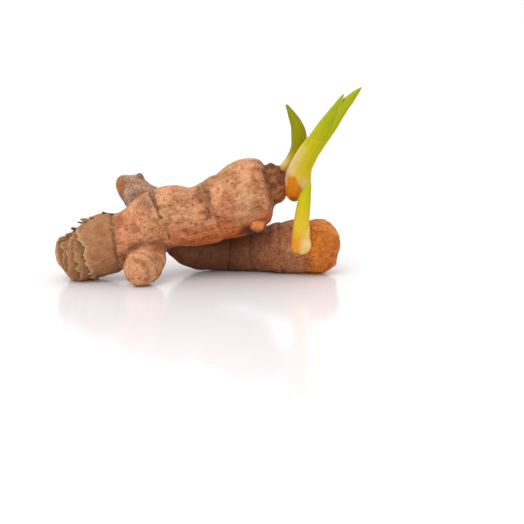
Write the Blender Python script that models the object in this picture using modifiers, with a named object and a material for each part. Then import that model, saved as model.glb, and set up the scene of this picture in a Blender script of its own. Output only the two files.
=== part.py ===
"""A sprouting turmeric root: one knobbly rhizome with its fingers, and three young shoots growing from it.

The rhizome lies on its old end, its lower finger and a short front finger, with its thick sprouting end, the
crown, raised. Units are metres, +Z is up, +X runs along the root towards the crown, and the origin is on the
ground under the middle of the whole piece. Tables of stations are in millimetres.
"""

import bmesh
import bpy
import numpy as np
from mathutils import Vector, noise

MM = 0.001
NOISE_OFFSET = Vector((3.7, 1.3, 8.1))

# Each finger is a row of stations along its middle: x, y, z and radius, in millimetres.
BODY = (
    (-56.8, -4.6, 8.6, 2.6),
    (-55.9, -4.6, 8.9, 5.0),
    (-53.3, -4.6, 9.7, 8.0),
    (-48.9, -4.6, 9.9, 9.8),
    (-44.4, -4.4, 11.3, 10.9),
    (-39.9, -4.0, 13.0, 11.5),
    (-36.4, -3.6, 14.0, 11.4),
    (-31.4, -3.2, 14.9, 10.6),
    (-27.6, -2.9, 16.3, 10.9),
    (-22.4, -2.4, 19.5, 11.6),
    (-17.4, -1.8, 22.5, 12.1),
    (-12.1, -1.3, 23.7, 12.0),
    (-7.2, -0.8, 23.3, 11.1),
    (-0.7, -0.2, 24.8, 11.4),
    (4.6, 0.4, 26.7, 12.4),
    (9.9, 1.1, 28.4, 13.0),
    (12.9, 1.4, 30.1, 13.6),
    (15.9, 1.8, 31.6, 13.8),
    (18.5, 2.1, 31.8, 13.2),
    (21.1, 2.4, 31.7, 12.0),
    (23.0, 2.6, 32.0, 9.4),
    (24.1, 2.7, 32.2, 6.4),
    (24.7, 2.7, 32.4, 3.0),
)
CROWN = (
    (17.1, 2.0, 34.2, 8.2),
    (20.6, 2.3, 34.7, 8.5),
    (23.7, 2.7, 35.0, 8.3),
    (25.7, 3.0, 35.4, 7.4),
    (27.3, 3.2, 35.9, 6.1),
    (28.5, 3.4, 36.3, 4.4),
    (29.1, 3.4, 36.5, 2.6),
)
LOWER_FINGER = (
    (-14.9, 0.9, 17.5, 6.5),
    (-9.4, 4.9, 12.2, 7.5),
    (-3.4, 8.9, 8.5, 7.8),
    (4.1, 11.2, 7.9, 7.7),
    (12.1, 11.6, 7.8, 7.6),
    (20.1, 10.4, 8.8, 8.5),
    (28.1, 8.0, 10.0, 9.8),
    (35.1, 6.9, 10.7, 10.4),
    (41.7, 6.4, 10.9, 10.5),
    (46.1, 6.4, 10.9, 9.5),
    (48.8, 6.4, 11.0, 7.0),
    (49.9, 6.4, 11.0, 3.4),
)
BACK_FINGER = (
    (-16.9, 1.5, 24.0, 6.8),
    (-21.5, 5.5, 26.2, 7.2),
    (-25.2, 9.4, 27.9, 6.9),
    (-28.5, 13.4, 29.8, 6.1),
    (-30.7, 15.8, 32.0, 5.8),
    (-31.2, 16.8, 34.0, 5.6),
    (-31.3, 17.2, 35.5, 5.0),
    (-31.3, 17.4, 36.5, 3.6),
)
FRONT_FINGER = (
    (-19.9, -3.0, 14.2, 6.2),
    (-21.9, -8.4, 10.0, 6.7),
    (-23.4, -13.0, 7.3, 6.8),
    (-24.7, -17.0, 6.4, 6.3),
    (-25.5, -19.8, 6.2, 5.0),
    (-25.9, -21.4, 6.2, 2.6),
)
FINGERS = {
    "body": BODY,
    "crown": CROWN,
    "lower": LOWER_FINGER,
    "back": BACK_FINGER,
    "front": FRONT_FINGER,
}
# Node rings along each finger: distance from its first station in millimetres, and how strongly each stands.
RINGS = {
    "body": (
        (3.6, 0.8),
        (7.4, 1.0),
        (10.8, 0.8),
        (22.2, 0.9),
        (27.6, 0.3),
        (41.4, 1.2),
        (61.0, 0.6),
        (69.0, 0.3),
    ),
    "crown": ((9.2, 0.5),),
    "lower": (
        (11.0, 0.7),
        (17.5, 0.5),
        (27.0, 0.8),
        (37.0, 0.6),
        (48.5, 0.8),
        (57.5, 0.5),
        (65.0, 0.4),
    ),
    "back": ((10.0, 0.5), (17.5, 0.4)),
    "front": ((9.0, 0.6), (14.5, 0.5), (18.0, 0.4)),
}
# Buds, stubs and the collar round the lower shoot's foot: base and tip, each x, y, z and radius.
KNOBS = (
    ((18.7, -1.0, 25.0, 3.0), (19.9, -4.0, 20.2, 1.7)),
    ((23.2, 2.2, 40.4, 3.0), (23.9, 1.4, 43.0, 1.8)),
    ((25.7, 1.7, 39.6, 2.8), (26.8, 1.0, 41.9, 1.5)),
    ((-27.6, 14.4, 34.0, 2.6), (-27.0, 14.2, 36.4, 1.6)),
    ((10.7, 10.0, 33.0, 5.0), (11.3, 13.6, 35.2, 3.0)),
    ((-39.5, 3.0, 15.0, 4.4), (-40.3, 6.6, 16.6, 2.6)),
    ((-54.5, -4.6, 12.4, 3.2), (-55.7, -5.0, 14.8, 1.7)),
    ((31.7, 13.0, 13.6, 4.2), (32.7, 16.0, 15.4, 2.4)),
    ((35.3, 3.0, 10.6, 6.0), (35.2, -1.8, 11.2, 4.6)),
)
# Bud scars, low round cushions in a shallow ring: x, y, z on the skin and radius, in millimetres.
SCARS = (
    (-13.3, -12.4, 28.8, 2.5),
    (-14.9, -13.7, 23.8, 1.5),
    (-21.0, -14.0, 20.6, 2.6),
    (-6.8, -11.6, 25.3, 1.5),
    (-8.9, 9.6, 27.8, 2.4),
    (4.7, 11.6, 31.0, 2.6),
    (14.1, 4.6, 11.2, 2.0),
    (22.1, 16.2, 14.8, 2.2),
)
# Relief. A ring is a collar with a groove just past it. It wanders along the finger and its height varies.
COLLAR_MM = 0.4
COLLAR_LENGTH_MM = 2.8
GROOVE_MM = 0.45
GROOVE_PAST_MM = 1.4
GROOVE_WIDTH_MM = 1.1
RING_WANDER_MM = 1.0
RING_WANDER_SIZE_MM = 8.0
RING_MEAN = 0.8
RING_SWING = 1.1
RING_SWING_SIZE_MM = 10.0
FORK_FADE_MM = 4.0
FORK_CREASE_MM = 0.7
FORK_CREASE_WIDTH_MM = 1.3
SCAR_HEIGHT_MM = 0.45
SCAR_RING_DEPTH_MM = 0.22
SCAR_RING_AT = 1.3
SCAR_RING_WIDTH = 0.25
LUMP_MM = 0.7
LUMP_SIZE_MM = 12.0
RIPPLE_MM = 0.25
RIPPLE_SIZE_MM = 3.4
RELIEF_SMOOTHING = 2

# Shoots: each is one or more tapering blades, as stations x, y, z and half its width, in millimetres.
TALL_SHOOT = (
    (
        (27.5, 2.6, 35.4, 2.6),
        (30.3, 2.0, 34.6, 3.4),
        (32.9, 1.3, 34.2, 4.4),
        (34.2, 1.0, 36.6, 4.9),
        (34.5, 0.7, 39.2, 4.6),
        (35.2, 0.4, 42.6, 4.2),
        (37.3, 0.1, 46.6, 4.0),
        (39.7, -0.2, 50.8, 3.8),
        (40.5, -0.3, 52.2, 3.6),
    ),
    (
        (37.3, 0.1, 46.4, 3.4),
        (40.2, -0.2, 51.7, 3.3),
        (44.4, -0.5, 58.0, 2.8),
        (46.9, -0.7, 62.0, 2.3),
        (48.8, -0.8, 65.2, 1.7),
        (50.0, -0.9, 67.6, 1.0),
        (50.9, -1.0, 69.5, 0.45),
    ),
    (
        (38.4, 1.2, 46.3, 3.1),
        (42.1, 1.0, 52.0, 2.9),
        (46.7, 0.8, 58.6, 2.5),
        (49.9, 0.6, 63.0, 2.0),
        (52.5, 0.4, 66.2, 1.5),
        (55.0, 0.2, 69.0, 1.0),
        (57.3, 0.0, 71.5, 0.45),
    ),
)
SHORT_SHOOT = (
    (
        (27.0, 4.9, 38.4, 1.6),
        (28.5, 5.6, 40.6, 1.8),
        (30.8, 6.5, 43.3, 1.9),
        (33.1, 7.5, 46.3, 2.3),
        (34.3, 8.4, 49.9, 2.8),
        (34.3, 9.2, 53.6, 2.9),
        (33.6, 9.6, 56.2, 2.6),
        (32.5, 9.9, 59.0, 1.9),
        (31.1, 10.1, 61.8, 1.1),
        (29.7, 10.2, 64.2, 0.45),
    ),
)
LOWER_SHOOT = (
    (
        (35.5, 2.4, 10.6, 2.9),
        (35.3, -1.2, 10.9, 3.5),
        (35.1, -4.1, 13.0, 3.7),
        (35.0, -5.1, 16.6, 3.5),
        (35.2, -5.9, 20.7, 3.1),
        (35.7, -6.7, 26.2, 2.7),
        (36.5, -7.2, 31.0, 2.1),
        (37.3, -7.4, 34.6, 1.4),
        (38.5, -7.6, 37.8, 0.45),
    ),
)
BLADE_DEPTH = 0.8

# Meshing, and how the root sits on the ground.
SKIN_VOXEL = 0.8 * MM
SKIN_SMOOTHING = 5
SHOOT_VOXEL = 0.42 * MM
SHOOT_SMOOTHING = 4
RHIZOME_TRIANGLES = 10200
TALL_TRIANGLES = 1700
SHORT_TRIANGLES = 800
LOWER_TRIANGLES = 800
SOCKET_GAP = 0.35 * MM
FOOT_PRESS_MM = 0.4
FOOT_SNAP_MM = 0.12
STEP_MM = 1.0


def clear_scene():
    """Empties the scene before the model is made."""
    for obj in list(bpy.data.objects):
        bpy.data.objects.remove(obj, do_unlink=True)


def make_material(name, colour, roughness):
    """A plain material with this linear base colour."""
    material = bpy.data.materials.new(name)
    material.use_nodes = True
    shader = material.node_tree.nodes["Principled BSDF"]
    shader.inputs["Base Color"].default_value = (*colour, 1.0)
    shader.inputs["Roughness"].default_value = roughness
    shader.inputs["Metallic"].default_value = 0.0
    return material


def smooth_stations(stations):
    """Points every STEP_MM on a Catmull-Rom line through the stations, as rows of x, y, z and radius."""
    rows = np.array(stations, float)
    padded = np.vstack([2 * rows[0] - rows[1], rows, 2 * rows[-1] - rows[-2]])
    points = []
    for i in range(1, len(padded) - 2):
        before, start, end, after = padded[i - 1 : i + 3]
        count = max(2, int(np.linalg.norm(end[:3] - start[:3]) / STEP_MM))
        for t in np.arange(count) / count:
            points.append(
                0.5
                * (
                    2 * start
                    + (end - before) * t
                    + (2 * before - 5 * start + 4 * end - after) * t**2
                    + (3 * start - before - 3 * end + after) * t**3
                )
            )
    points.append(rows[-1])
    line = np.array(points)
    line[:, 3] = np.maximum(line[:, 3], rows[:, 3].min())
    return line


def add_tube(bm, stations):
    """Adds to bm the closed tube of a round curve through the stations."""
    line = smooth_stations(stations)
    curve = bpy.data.curves.new("finger_line", "CURVE")
    curve.dimensions = "3D"
    curve.bevel_depth = MM
    curve.bevel_resolution = 8
    curve.use_fill_caps = True
    spline = curve.splines.new("POLY")
    spline.points.add(len(line) - 1)
    for point, (x, y, z, radius) in zip(spline.points, line):
        point.co = (x * MM, y * MM, z * MM, 1.0)
        point.radius = radius
    holder = bpy.data.objects.new("finger_line", curve)
    bpy.context.scene.collection.objects.link(holder)
    graph = bpy.context.evaluated_depsgraph_get()
    mesh = bpy.data.meshes.new_from_object(holder.evaluated_get(graph))
    bm.from_mesh(mesh)
    bpy.data.objects.remove(holder)
    bpy.data.meshes.remove(mesh)


def add_ball_chain(bm, stations, depth=1.0):
    """Adds to bm overlapping balls along the stations, each this deep in Y for its width."""
    for x, y, z, radius in smooth_stations(stations):
        ball = bmesh.ops.create_icosphere(bm, subdivisions=2, radius=radius * MM)
        for vertex in ball["verts"]:
            vertex.co.y *= depth
            vertex.co += Vector((x, y, z)) * MM


def object_from(bm, name, collection):
    """A new object in the collection, made from bm."""
    mesh = bpy.data.meshes.new(name)
    bm.to_mesh(mesh)
    bm.free()
    obj = bpy.data.objects.new(name, mesh)
    collection.objects.link(obj)
    return obj


def apply_modifiers(obj):
    """Replaces the object's mesh by the evaluated one and drops its modifiers."""
    graph = bpy.context.evaluated_depsgraph_get()
    evaluated = bpy.data.meshes.new_from_object(obj.evaluated_get(graph))
    obj.modifiers.clear()
    old = obj.data
    obj.data = evaluated
    bpy.data.meshes.remove(old)


def soften(obj, passes):
    """Eases the creases of obj."""
    ease = obj.modifiers.new("ease", "SMOOTH")
    ease.factor = 0.5
    ease.iterations = passes
    apply_modifiers(obj)


def fuse(obj, voxel, smoothing):
    """Joins the overlapping shells of obj into one skin, and eases the creases where they meet."""
    remesh = obj.modifiers.new("fuse", "REMESH")
    remesh.mode = "VOXEL"
    remesh.voxel_size = voxel
    apply_modifiers(obj)
    soften(obj, smoothing)


def thin_out(obj, triangles):
    """Brings obj down to about this many triangles, keeping the ridges."""
    faces = sum(len(polygon.vertices) - 2 for polygon in obj.data.polygons)
    decimate = obj.modifiers.new("thin", "DECIMATE")
    decimate.ratio = min(1.0, triangles / faces)
    decimate.use_collapse_triangulate = True
    apply_modifiers(obj)


def points_of(mesh):
    """The mesh's vertices as rows of x, y, z in millimetres."""
    points = np.empty(len(mesh.vertices) * 3)
    mesh.vertices.foreach_get("co", points)
    return points.reshape(-1, 3) / MM


def set_points(mesh, points):
    """Moves the mesh's vertices to these rows of x, y, z in millimetres."""
    mesh.vertices.foreach_set("co", (points * MM).ravel())
    mesh.update()


def axis_of(stations):
    """The finger's middle line: its points, radii, distance along it in millimetres, and tangents."""
    line = smooth_stations(stations)
    points = line[:, :3]
    steps = np.linalg.norm(np.diff(points, axis=0), axis=1)
    along = np.concatenate([[0.0], np.cumsum(steps)])
    tangents = np.gradient(points, axis=0)
    tangents /= np.linalg.norm(tangents, axis=1)[:, None]
    return points, line[:, 3], along, tangents


def place_on_fingers(points):
    """For each point: its nearest finger, how far along it is, and how far from a fork, in millimetres."""
    gaps = []
    alongs = []
    for stations in FINGERS.values():
        middle, radii, along, tangents = axis_of(stations)
        away = points[:, None, :] - middle[None, :, :]
        gap = np.linalg.norm(away, axis=2) - radii[None, :]
        nearest = gap.argmin(axis=1)
        rows = np.arange(len(points))
        beyond = (away[rows, nearest] * tangents[nearest]).sum(axis=1)
        gaps.append(gap[rows, nearest])
        alongs.append(along[nearest] + beyond)
    gaps = np.array(gaps)
    sorted_gaps = np.sort(gaps, axis=0)
    best = gaps.argmin(axis=0)
    along = np.array(alongs)[best, np.arange(len(points))]
    return np.array(list(FINGERS))[best], along, sorted_gaps[1] - sorted_gaps[0]


def ring_relief(name, along, strength_around):
    """Height in millimetres of one finger's node rings: a collar that rises to an edge, then a groove."""
    height = np.zeros(len(along))
    for place, strength in RINGS[name]:
        short_of = place - along
        collar = np.where(
            short_of > 0,
            np.exp(-np.maximum(short_of, 0.0) / COLLAR_LENGTH_MM),
            np.exp(-((short_of / GROOVE_WIDTH_MM) ** 2)),
        )
        groove = np.exp(-(((short_of + GROOVE_PAST_MM) / GROOVE_WIDTH_MM) ** 2))
        height += strength * strength_around * (COLLAR_MM * collar - GROOVE_MM * groove)
    return height


def scar_relief(points):
    """Height in millimetres of the round bud scars: a low cushion inside a shallow ring."""
    height = np.zeros(len(points))
    for x, y, z, radius in SCARS:
        distance = np.linalg.norm(points - (x, y, z), axis=1) / radius
        height += SCAR_HEIGHT_MM * np.exp(-(distance**4))
        height -= SCAR_RING_DEPTH_MM * np.exp(-(((distance - SCAR_RING_AT) / SCAR_RING_WIDTH) ** 2))
    return height


def soft_noise(points, size):
    """Smooth noise from -1 to 1 at each point, with lumps of the given size in millimetres."""
    return np.array([noise.noise(Vector(p) / size + NOISE_OFFSET) for p in points])


def carve_relief(obj):
    """Raises the rings, scars and lumps on the fused skin, and creases it where fingers fork."""
    points = points_of(obj.data)
    normals = np.array([tuple(vertex.normal) for vertex in obj.data.vertices])
    finger, along, from_fork = place_on_fingers(points)
    clear_of_fork = np.clip(from_fork / FORK_FADE_MM, 0.0, 1.0)
    along = along + RING_WANDER_MM * soft_noise(points, RING_WANDER_SIZE_MM)
    strength_around = np.maximum(RING_MEAN + RING_SWING * soft_noise(points, RING_SWING_SIZE_MM), 0.0)
    height = scar_relief(points)
    height -= FORK_CREASE_MM * np.exp(-((from_fork / FORK_CREASE_WIDTH_MM) ** 2))
    height += LUMP_MM * soft_noise(points, LUMP_SIZE_MM)
    height += RIPPLE_MM * soft_noise(points, RIPPLE_SIZE_MM)
    for name in FINGERS:
        mine = finger == name
        rings = ring_relief(name, along[mine], strength_around[mine])
        height[mine] += rings * clear_of_fork[mine]
    set_points(obj.data, points + normals * height[:, None])
    soften(obj, RELIEF_SMOOTHING)


def press_feet(obj):
    """Flattens the lowest spots on the ground, where the root rests on them."""
    points = points_of(obj.data)
    points[:, 2] -= FOOT_PRESS_MM
    points[points[:, 2] < FOOT_SNAP_MM, 2] = 0.0
    set_points(obj.data, points)


def build_rhizome(collection):
    """The root itself: its fingers and buds fused into one skin, with the rings raised on it."""
    bm = bmesh.new()
    for stations in FINGERS.values():
        add_tube(bm, stations)
    for base, tip in KNOBS:
        add_ball_chain(bm, (base, tip))
    rhizome = object_from(bm, "rhizome", collection)
    fuse(rhizome, SKIN_VOXEL, SKIN_SMOOTHING)
    carve_relief(rhizome)
    thin_out(rhizome, RHIZOME_TRIANGLES)
    press_feet(rhizome)
    return rhizome


def build_shoot(name, blades, triangles, collection):
    """One shoot: its tapering blades fused into one pointed body."""
    bm = bmesh.new()
    for stations in blades:
        add_ball_chain(bm, stations, BLADE_DEPTH)
    shoot = object_from(bm, name, collection)
    fuse(shoot, SHOOT_VOXEL, SHOOT_SMOOTHING)
    thin_out(shoot, triangles)
    return shoot


def cut_socket(rhizome, shoot, cutters):
    """Opens the rhizome round the foot of the shoot, leaving a hairline gap all round."""
    cutter = shoot.copy()
    cutter.data = shoot.data.copy()
    cutter.name = "socket_" + shoot.name
    cutters.objects.link(cutter)
    cutter.hide_render = True
    cutter.display_type = "WIRE"
    for vertex in cutter.data.vertices:
        vertex.co += vertex.normal * SOCKET_GAP
    cut = rhizome.modifiers.new(cutter.name, "BOOLEAN")
    cut.operation = "DIFFERENCE"
    cut.solver = "EXACT"
    cut.object = cutter


def main():
    """Builds the rhizome and its three shoots."""
    clear_scene()
    root = bpy.data.collections.new("turmeric_root")
    cutters = bpy.data.collections.new("cutters")
    for collection in (root, cutters):
        bpy.context.scene.collection.children.link(collection)
    skin = make_material("rhizome_skin", (0.50, 0.28, 0.15), 0.75)
    leaf = make_material("shoot_leaf", (0.50, 0.48, 0.06), 0.45)
    rhizome = build_rhizome(root)
    rhizome.data.materials.append(skin)
    shoots = (
        build_shoot("tall_shoot", TALL_SHOOT, TALL_TRIANGLES, root),
        build_shoot("short_shoot", SHORT_SHOOT, SHORT_TRIANGLES, root),
        build_shoot("lower_shoot", LOWER_SHOOT, LOWER_TRIANGLES, root),
    )
    for shoot in shoots:
        shoot.data.materials.append(leaf)
        cut_socket(rhizome, shoot, cutters)
    for obj in (rhizome, *shoots):
        obj.data.shade_smooth()


main()
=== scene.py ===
"""The looks of a sprouting turmeric root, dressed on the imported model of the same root.

The rhizome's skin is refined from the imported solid: its node rings, bud scars, root scars and wrinkles are
raised in the mesh, and masks for them are kept on its vertices for the skin's material. The three shoots are
rolled from single leaves. Lengths in the tables are millimetres, and what is handed to Blender is in metres.
"""

import logging
import math
import random
from dataclasses import dataclass
from enum import Enum

import bmesh
import bpy
import numpy as np
from mathutils import Matrix, Vector, noise
from mathutils.bvhtree import BVHTree


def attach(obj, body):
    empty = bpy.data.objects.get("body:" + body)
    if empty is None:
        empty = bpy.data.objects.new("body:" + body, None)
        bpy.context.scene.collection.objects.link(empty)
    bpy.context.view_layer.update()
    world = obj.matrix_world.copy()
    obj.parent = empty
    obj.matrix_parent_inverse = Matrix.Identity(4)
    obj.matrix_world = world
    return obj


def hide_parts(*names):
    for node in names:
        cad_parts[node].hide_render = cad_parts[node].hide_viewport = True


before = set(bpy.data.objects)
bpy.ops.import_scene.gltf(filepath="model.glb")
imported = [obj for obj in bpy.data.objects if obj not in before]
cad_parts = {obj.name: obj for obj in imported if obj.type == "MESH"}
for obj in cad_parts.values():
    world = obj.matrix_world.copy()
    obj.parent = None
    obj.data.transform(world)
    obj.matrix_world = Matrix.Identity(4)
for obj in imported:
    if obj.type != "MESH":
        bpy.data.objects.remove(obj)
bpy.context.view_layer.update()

MM = 0.001
BODY = "root"
LOG = logging.getLogger("turmeric")
NOISE_OFFSET = Vector((3.7, 1.3, 8.1))
LUMP_OFFSET = Vector((6.0, 1.0, 4.0))
PATCHY_OFFSET = Vector((9.1, 4.4, 2.0))
AWAY = np.array((0.0, 1.0, 0.0))


class Slot(Enum):
    """The record's material slots."""

    SKIN = "rhizome_skin"
    LEAF = "shoot_leaf"


def linear(colour: str) -> tuple[float, float, float, float]:
    """Turns an sRGB hex colour to linear.

    Args:
        colour: Six hex digits after a number sign.

    Returns:
        Linear red, green and blue, and an alpha of 1.
    """
    values = []
    for start in (1, 3, 5):
        value = int(colour[start : start + 2], 16) / 255
        values.append(value / 12.92 if value <= 0.04045 else ((value + 0.055) / 1.055) ** 2.4)
    return (*values, 1.0)


def add_node(
    tree: bpy.types.NodeTree, kind: str, settings: dict | None = None, links: dict | None = None
) -> bpy.types.Node:
    """Adds one shader node with its settings and links.

    Args:
        tree: The material's node tree.
        kind: The node's type, without ShaderNode before it.
        settings: Values by property name, or by input name or number.
        links: The outputs that feed its inputs, by input name or number.

    Returns:
        The new node.
    """
    node = tree.nodes.new("ShaderNode" + kind)
    settings = settings or {}
    properties = [name for name in settings if isinstance(name, str) and hasattr(node, name)]
    for name in properties:
        setattr(node, name, settings[name])
    for name, value in settings.items():
        if name not in properties:
            node.inputs[name].default_value = value
    for name, source in (links or {}).items():
        tree.links.new(source, node.inputs[name])
    return node


def soft_noise(points: np.ndarray, size: float, offset: Vector = NOISE_OFFSET) -> np.ndarray:
    """Smooth noise at each point.

    Args:
        points: Rows of x, y, z in millimetres.
        size: The size of its lumps in millimetres.
        offset: Where in the noise the pattern is read.

    Returns:
        A value from -1 to 1 for each point.
    """
    return np.array([noise.noise(Vector(point) / size + offset) for point in points])


def layered_noise(points: np.ndarray, layers: tuple, offset: Vector = NOISE_OFFSET) -> np.ndarray:
    """Adds up smooth noises at each point, from layers of a height and a size of lumps in millimetres."""
    return sum(height * soft_noise(points, size, offset) for height, size in layers)


def smooth_step(values: np.ndarray, low: float, high: float) -> np.ndarray:
    """Rises from 0 at low to 1 at high."""
    share = np.clip((values - low) / (high - low), 0.0, 1.0)
    return share * share * (3 - 2 * share)


def bell(values: np.ndarray, centre: float, width: float) -> np.ndarray:
    """A bump of height 1 at the centre that is this wide to either side."""
    return np.exp(-(((values - centre) / width) ** 2))


def unit(rows: np.ndarray) -> np.ndarray:
    """Scales each row to a length of 1."""
    return rows / np.linalg.norm(rows, axis=-1, keepdims=True)


def trace(stations: tuple, step: float = 1.0) -> tuple[np.ndarray, np.ndarray, np.ndarray]:
    """Draws a Catmull-Rom line through stations.

    Args:
        stations: Rows of x, y, z and radius in millimetres.
        step: The spacing of its points in millimetres.

    Returns:
        Rows of x, y, z and radius along the line, the distance along it of each row, and its tangents.
    """
    rows = np.array(stations, float)
    padded = np.vstack([2 * rows[0] - rows[1], rows, 2 * rows[-1] - rows[-2]])
    points = []
    for before, start, end, after in zip(padded, padded[1:], padded[2:], padded[3:]):
        count = max(2, int(np.linalg.norm(end[:3] - start[:3]) / step))
        for t in np.arange(count) / count:
            curve = 2 * start + (end - before) * t
            curve = curve + (2 * before - 5 * start + 4 * end - after) * t**2
            curve = curve + (3 * start - before - 3 * end + after) * t**3
            points.append(curve / 2)
    line = np.array([*points, rows[-1]])
    line[:, 3] = np.maximum(line[:, 3], rows[:, 3].min())
    steps = np.linalg.norm(np.diff(line[:, :3], axis=0), axis=1)
    along = np.concatenate([[0.0], np.cumsum(steps)])
    return line, along, unit(np.gradient(line[:, :3], axis=0))


def read_along(rows: np.ndarray, along: np.ndarray, reach: np.ndarray) -> np.ndarray:
    """Reads the rows of a line this far along it."""
    return np.stack([np.interp(reach, along, column) for column in rows.T], axis=-1)


def read_rows(items: bpy.types.bpy_prop_collection, field: str) -> np.ndarray:
    """Reads a vector from each item of a mesh.

    Args:
        items: The mesh's vertices or vertex normals.
        field: The name of the vector.

    Returns:
        Rows of x, y, z.
    """
    values = np.empty(len(items) * 3)
    items.foreach_get(field, values)
    return values.reshape(-1, 3)


def keep(mesh: bpy.types.Mesh, name: str, columns: tuple) -> None:
    """Stores a few values on each vertex, for the material to read.

    Args:
        mesh: The mesh that carries them.
        name: The attribute's name.
        columns: Three arrays for a vector, or four from 0 to 1 for a colour.
    """
    rows = np.column_stack(columns).astype(np.float32)
    kind, field = "FLOAT_VECTOR", "vector"
    if rows.shape[1] == 4:
        kind, field = "FLOAT_COLOR", "color"
        rows = rows.clip(0.0, 1.0)
    mesh.attributes.new(name, kind, "POINT").data.foreach_set(field, rows.ravel())


def make_piece(bm: bmesh.types.BMesh, name: str) -> bpy.types.Object:
    """Makes an object of the bmesh and links it to the scene.

    Args:
        bm: The shape, which is freed.
        name: The piece's name.

    Returns:
        The new object, at the origin.
    """
    mesh = bpy.data.meshes.new(name)
    bm.to_mesh(mesh)
    bm.free()
    piece = bpy.data.objects.new(name, mesh)
    bpy.context.scene.collection.objects.link(piece)
    return piece


def apply_modifiers(piece: bpy.types.Object) -> None:
    """Replaces a mesh by the evaluated one.

    Args:
        piece: The object, which loses its modifiers.
    """
    graph = bpy.context.evaluated_depsgraph_get()
    evaluated = bpy.data.meshes.new_from_object(piece.evaluated_get(graph))
    piece.modifiers.clear()
    old = piece.data
    piece.data = evaluated
    bpy.data.meshes.remove(old)


def thicken(sheet: bpy.types.Object, thick_mm: float) -> None:
    """Gives a thin sheet its thickness, half to either side.

    Args:
        sheet: The flat piece.
        thick_mm: Its thickness in millimetres.
    """
    solid = sheet.modifiers.new("thickness", "SOLIDIFY")
    solid.thickness = thick_mm * MM
    solid.offset = 0.0
    apply_modifiers(sheet)


def dress(piece: bpy.types.Object, material: bpy.types.Material, stands_for: str = "") -> None:
    """Gives a finished piece its material and its place in the frame.

    Args:
        piece: The finished piece.
        material: Its finish.
        stands_for: The CAD node that it replaces, if any.
    """
    piece.data.materials.clear()
    piece.data.materials.append(material)
    piece.data.shade_smooth()
    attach(piece, BODY)
    if stands_for:
        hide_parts(stands_for)
    LOG.info("%s: %d vertices", piece.name, len(piece.data.vertices))


@dataclass(frozen=True)
class Finger:
    """One finger of the rhizome, as a line along its middle, which its grain follows.

    Attributes:
        name: The finger's name.
        stations: The line's x, y, z and radius in millimetres.
        rings: Its node rings, each the place along the line in millimetres and the strength.
        side: A direction that the line stays clear of, which its coordinates are squared to.
    """

    name: str
    stations: tuple
    rings: tuple
    side: tuple = (0.0, 0.0, 1.0)


BODY_FINGER = Finger(
    "body",
    (
        (-56.8, -4.6, 8.6, 2.6), (-55.9, -4.6, 8.9, 5.0), (-53.3, -4.6, 9.7, 8.0), (-48.9, -4.6, 9.9, 9.8),
        (-44.4, -4.4, 11.3, 10.9), (-39.9, -4.0, 13.0, 11.5), (-36.4, -3.6, 14.0, 11.4),
        (-31.4, -3.2, 14.9, 10.6), (-27.6, -2.9, 16.3, 10.9), (-22.4, -2.4, 19.5, 11.6),
        (-17.4, -1.8, 22.5, 12.1), (-12.1, -1.3, 23.7, 12.0), (-7.2, -0.8, 23.3, 11.1),
        (-0.7, -0.2, 24.8, 11.4), (4.6, 0.4, 26.7, 12.4), (9.9, 1.1, 28.4, 13.0), (12.9, 1.4, 30.1, 13.6),
        (15.9, 1.8, 31.6, 13.8), (18.5, 2.1, 31.8, 13.2), (21.1, 2.4, 31.7, 12.0), (23.0, 2.6, 32.0, 9.4),
        (24.1, 2.7, 32.2, 6.4), (24.7, 2.7, 32.4, 3.0),
    ),
    ((3.6, 0.8), (7.4, 1.0), (10.8, 0.8), (22.2, 0.9), (27.6, 0.3), (41.4, 1.2), (61.0, 0.6), (69.0, 0.3)),
)
CROWN = Finger(
    "crown",
    (
        (17.1, 2.0, 34.2, 8.2), (20.6, 2.3, 34.7, 8.5), (23.7, 2.7, 35.0, 8.3), (25.7, 3.0, 35.4, 7.4),
        (27.3, 3.2, 35.9, 6.1), (28.5, 3.4, 36.3, 4.4), (29.1, 3.4, 36.5, 2.6),
    ),
    ((9.2, 0.5),),
)
LOWER_FINGER = Finger(
    "lower",
    (
        (-14.9, 0.9, 17.5, 6.5), (-9.4, 4.9, 12.2, 7.5), (-3.4, 8.9, 8.5, 7.8), (4.1, 11.2, 7.9, 7.7),
        (12.1, 11.6, 7.8, 7.6), (20.1, 10.4, 8.8, 8.5), (28.1, 8.0, 10.0, 9.8), (35.1, 6.9, 10.7, 10.4),
        (41.7, 6.4, 10.9, 10.5), (46.1, 6.4, 10.9, 9.5), (48.8, 6.4, 11.0, 7.0), (49.9, 6.4, 11.0, 3.4),
    ),
    ((11.0, 0.7), (17.5, 0.5), (27.0, 0.8), (37.0, 0.6), (48.5, 0.8), (57.5, 0.25)),
)
BACK_FINGER = Finger(
    "back",
    (
        (-16.9, 1.5, 24.0, 6.8), (-21.5, 5.5, 26.2, 7.2), (-25.2, 9.4, 27.9, 6.9),
        (-28.5, 13.4, 29.8, 6.1), (-30.7, 15.8, 32.0, 5.8), (-31.2, 16.8, 34.0, 5.6),
        (-31.3, 17.2, 35.5, 5.0), (-31.3, 17.4, 36.5, 3.6),
    ),
    ((10.0, 0.5), (17.5, 0.4)),
    side=(1.0, 0.0, 0.0),
)
FRONT_FINGER = Finger(
    "front",
    (
        (-19.9, -3.0, 14.2, 6.2), (-21.9, -8.4, 10.0, 6.7), (-23.4, -13.0, 7.3, 6.8),
        (-24.7, -17.0, 6.4, 6.3), (-25.5, -19.8, 6.2, 5.0), (-25.9, -21.4, 6.2, 2.6),
    ),
    ((9.0, 0.6), (14.5, 0.5), (18.0, 0.4)),
)
FINGERS = (BODY_FINGER, CROWN, LOWER_FINGER, BACK_FINGER, FRONT_FINGER)


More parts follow.
